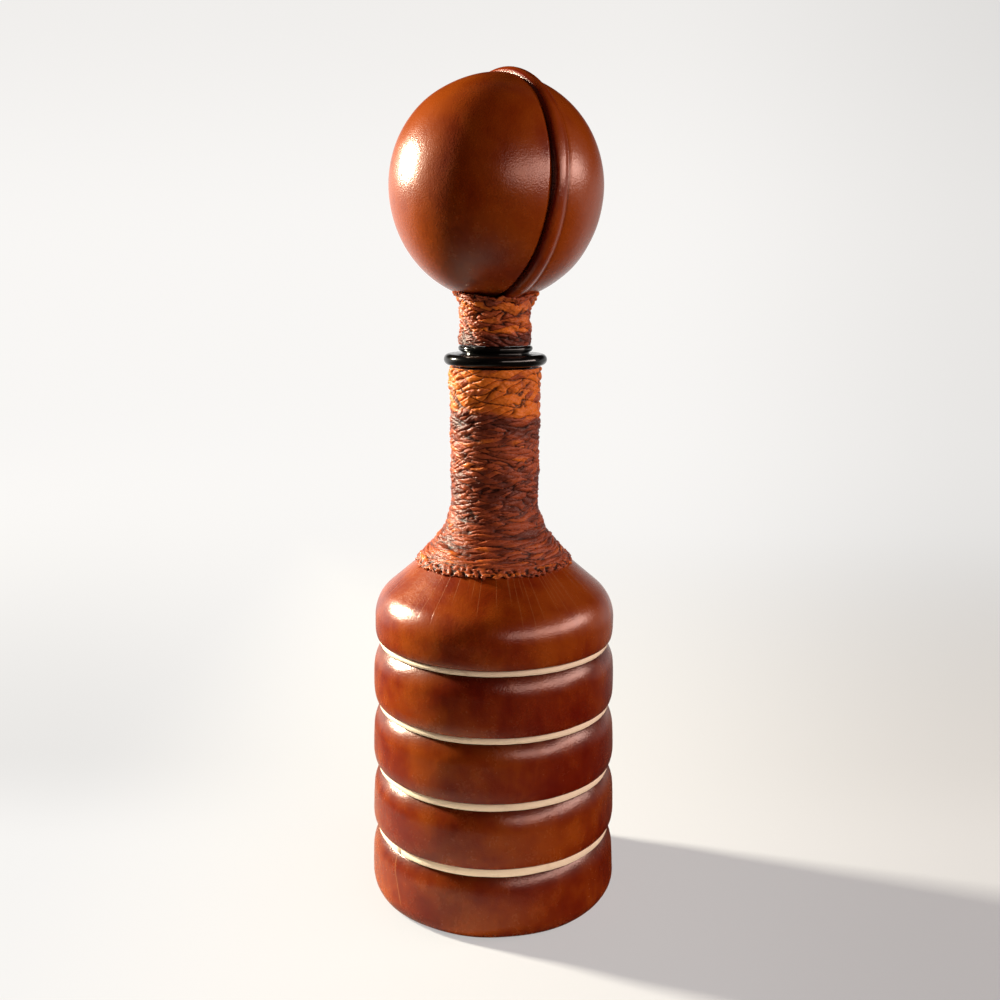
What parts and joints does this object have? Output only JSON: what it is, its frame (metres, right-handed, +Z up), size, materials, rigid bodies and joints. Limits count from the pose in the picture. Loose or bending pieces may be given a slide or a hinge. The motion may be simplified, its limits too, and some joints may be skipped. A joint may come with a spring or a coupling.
{
  "type": "decanter",
  "caption": "Tall glass decanter covered in banded chestnut leather, with pale lacing, a crinkled neck wrap and a large leather ball stopper that pulls out of the neck.",
  "frame": {"origin": "centre of the underside, on the surface that the decanter stands on", "axes": "+Z up along the bottle's axis; -Y towards the pictured front; +X to the right as seen from there"},
  "size_m": [0.1012, 0.1012, 0.3354],
  "materials": {
    "chestnut_leather": "waxed and polished, mottled",
    "crinkled_leather": "crinkled and waxed",
    "pale_lace": "undyed, matt",
    "black_collar": "polished black",
    "felt": "pressed felt",
    "clear_glass": "clear",
    "turned_wood": "plain turned wood",
    "cork": "natural cork",
    "sole_leather": "plain sole leather"
  },
  "bodies": {
    "bottle": {"glass_bottle": "clear_glass", "base_pad": "sole_leather", "base_band": "chestnut_leather", "base_padding": "felt", "body_band_1": "chestnut_leather", "band_padding_1": "felt", "body_band_2": "chestnut_leather", "band_padding_2": "felt", "body_band_3": "chestnut_leather", "band_padding_3": "felt", "shoulder_cover": "chestnut_leather", "shoulder_padding": "felt", "groove_lace_1": "pale_lace", "groove_lace_2": "pale_lace", "groove_lace_3": "pale_lace", "groove_lace_4": "pale_lace", "neck_wrap": "crinkled_leather"},
    "stopper": {"stopper_cork": "cork", "stopper_collar": "black_collar", "stopper_dowel": "turned_wood", "shank_core": "turned_wood", "shank_wrap": "crinkled_leather", "ball_core": "turned_wood", "ball_cover_left": "chestnut_leather", "ball_cover_right": "chestnut_leather", "ball_welt": "chestnut_leather"}
  },
  "joints": [
    {"name": "stopper_pull", "type": "slide", "parent": "bottle", "child": "stopper", "axis": [0, 0, 1], "range_m": [0, 0.06]}
  ]
}
